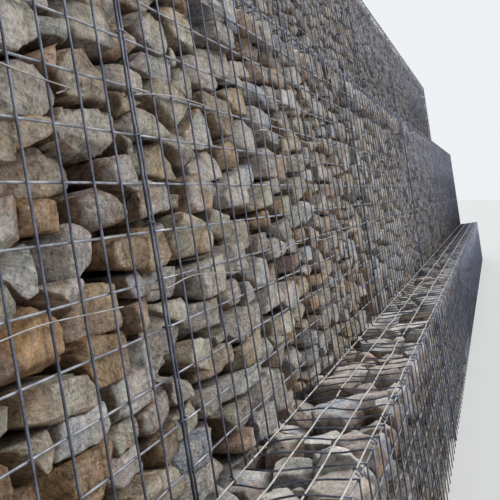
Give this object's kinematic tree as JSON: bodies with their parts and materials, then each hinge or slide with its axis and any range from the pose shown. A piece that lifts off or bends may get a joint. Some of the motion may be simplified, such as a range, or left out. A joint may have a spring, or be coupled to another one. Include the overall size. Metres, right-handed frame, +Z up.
{
  "type": "gabion wall",
  "caption": "Stepped gabion retaining wall: welded-mesh baskets packed with quarried stone, set back course by course, leaning back, in equal bays.",
  "frame": {"origin": "centre of the bounding box, on the level underside at ground level", "axes": "+X along the wall, +Y into the wall from the exposed face, +Z up"},
  "size_m": [11.9656, 1.8162, 2.4534],
  "materials": {
    "quarried_stone": "rough broken sandstone, tan to grey",
    "galvanised_wire": "dull weathered zinc"
  },
  "bodies": {
    "root": {"left_end_line_wires": "galvanised_wire", "left_end_uprights": "galvanised_wire", "lower_back_line_wires": "galvanised_wire", "lower_back_uprights": "galvanised_wire", "lower_diaphragm_uprights": "galvanised_wire", "lower_front_line_wires": "galvanised_wire", "lower_front_uprights": "galvanised_wire", "lower_ledge_cross_wires": "galvanised_wire", "lower_ledge_line_wires": "galvanised_wire", "lower_stone_fill_1": "quarried_stone", "lower_stone_fill_2": "quarried_stone", "lower_stone_fill_3": "quarried_stone", "lower_stone_fill_4": "quarried_stone", "lower_stone_fill_5": "quarried_stone", "lower_stone_fill_6": "quarried_stone", "middle_back_line_wires": "galvanised_wire", "middle_back_uprights": "galvanised_wire", "middle_diaphragm_uprights": "galvanised_wire", "middle_front_line_wires": "galvanised_wire", "middle_front_uprights": "galvanised_wire", "middle_ledge_cross_wires": "galvanised_wire", "middle_ledge_line_wires": "galvanised_wire", "middle_stone_fill_1": "quarried_stone", "middle_stone_fill_2": "quarried_stone", "middle_stone_fill_3": "quarried_stone", "middle_stone_fill_4": "quarried_stone", "middle_stone_fill_5": "quarried_stone", "middle_stone_fill_6": "quarried_stone", "right_end_line_wires": "galvanised_wire", "right_end_uprights": "galvanised_wire", "top_lid_cross_wires": "galvanised_wire", "top_lid_line_wires": "galvanised_wire", "upper_back_line_wires": "galvanised_wire", "upper_back_uprights": "galvanised_wire", "upper_diaphragm_uprights": "galvanised_wire", "upper_front_line_wires": "galvanised_wire", "upper_front_uprights": "galvanised_wire", "upper_stone_fill_1": "quarried_stone", "upper_stone_fill_2": "quarried_stone", "upper_stone_fill_3": "quarried_stone", "upper_stone_fill_4": "quarried_stone", "upper_stone_fill_5": "quarried_stone", "upper_stone_fill_6": "quarried_stone"}
  },
  "joints": []
}
